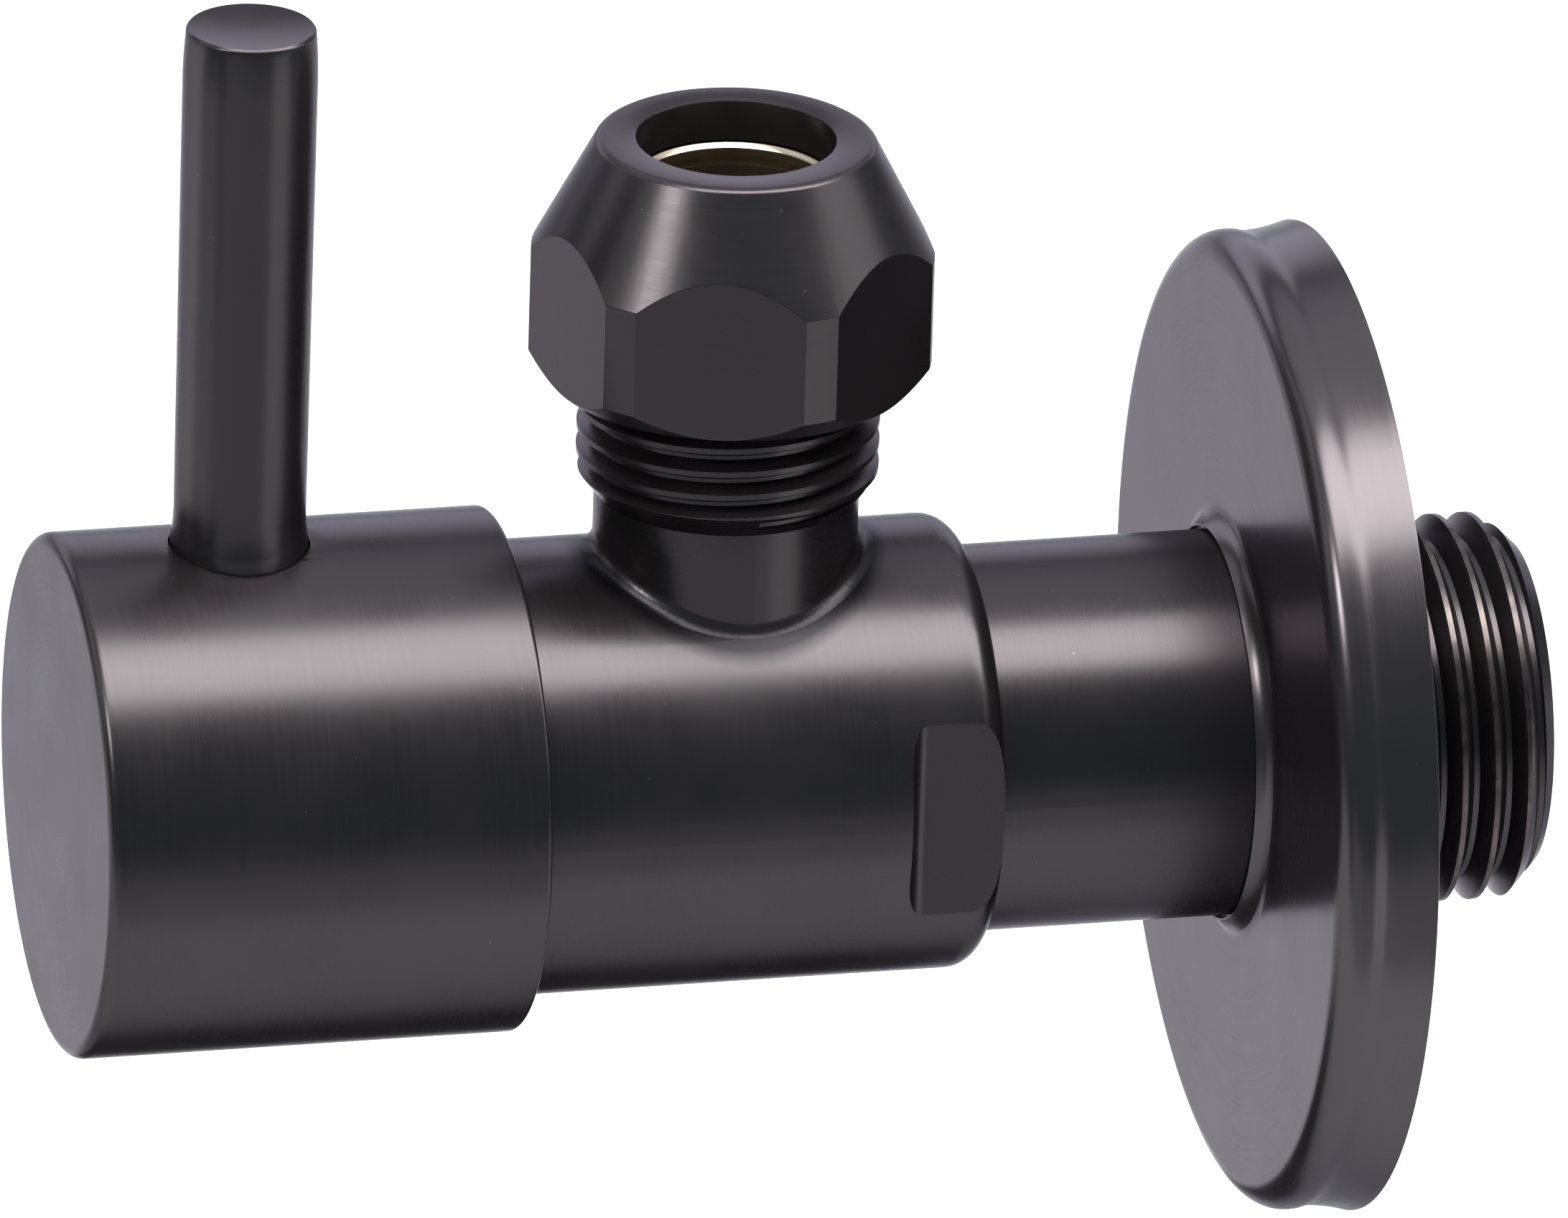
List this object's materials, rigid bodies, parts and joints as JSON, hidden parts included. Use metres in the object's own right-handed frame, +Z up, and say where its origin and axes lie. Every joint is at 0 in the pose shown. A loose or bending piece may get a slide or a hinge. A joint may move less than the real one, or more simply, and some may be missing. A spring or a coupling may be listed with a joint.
{
  "type": "angle stop valve",
  "caption": "Quarter-turn angle stop valve: round knob with an upright lever, barrel with a compression outlet on top, sliding wall cover and threaded inlet.",
  "frame": {"origin": "on the inlet axis, in the plane of the wall that the cover plate rests on", "axes": "+Y along the inlet into the wall, -Y towards the user and the knob, +Z up along the outlet and the lever, +X to the right as the user sees it"},
  "size_m": [0.0538, 0.0808, 0.0708],
  "materials": {
    "barrel_finish": "gunmetal plating over forged brass, linished round the barrel",
    "cover_finish": "gunmetal plated spun sheet, semi-gloss face",
    "nut_finish": "gunmetal plated brass, satin with bright worn edges",
    "knob_finish": "gunmetal plated, brushed round its axis",
    "lever_finish": "gunmetal plated, smooth satin",
    "bare_brass": "turned bright brass",
    "stainless": "plain stainless",
    "rubber_seal": "black nitrile rubber",
    "white_plastic": "acetal, natural",
    "ceramic": "lapped alumina ceramic"
  },
  "bodies": {
    "valve": {"valve_body": "barrel_finish", "gland_nut": "bare_brass", "gland_gasket": "rubber_seal", "thrust_washer": "white_plastic", "disc_cage": "white_plastic", "fixed_disc": "ceramic", "seat_seal": "rubber_seal"},
    "handle": {"knob": "knob_finish", "lever_pin": "lever_finish", "lever_stud": "stainless", "knob_set_screw": "stainless", "spline_adapter": "bare_brass", "stem": "bare_brass", "stem_o_rings": "rubber_seal", "stem_circlip": "stainless", "disc_driver": "white_plastic", "moving_disc": "ceramic"},
    "cover": {"escutcheon": "cover_finish"},
    "nut_rise": {"compression_ring": "bare_brass"},
    "nut": {"compression_nut": "nut_finish"}
  },
  "joints": [
    {"name": "handle_turn", "type": "hinge", "parent": "valve", "child": "handle", "pos_m": [0, -0.0602, 0], "axis": [0, 1, 0], "range_deg": [0, 90]},
    {"name": "cover_slide", "type": "slide", "parent": "valve", "child": "cover", "axis": [0, -1, 0], "range_m": [0, 0.0129]},
    {"name": "nut_rise", "type": "slide", "parent": "valve", "child": "nut_rise", "axis": [0, 0, 1], "range_m": [0, 0.00267]},
    {"name": "nut_turn", "type": "hinge", "parent": "nut_rise", "child": "nut", "pos_m": [0, -0.0334, 0.029], "axis": [0, 0, 1], "range_deg": [0, 720.1]}
  ],
  "couplings": [
    {"joint": "nut_turn", "follows": "nut_rise", "rad_per_m": 4699.5}
  ]
}
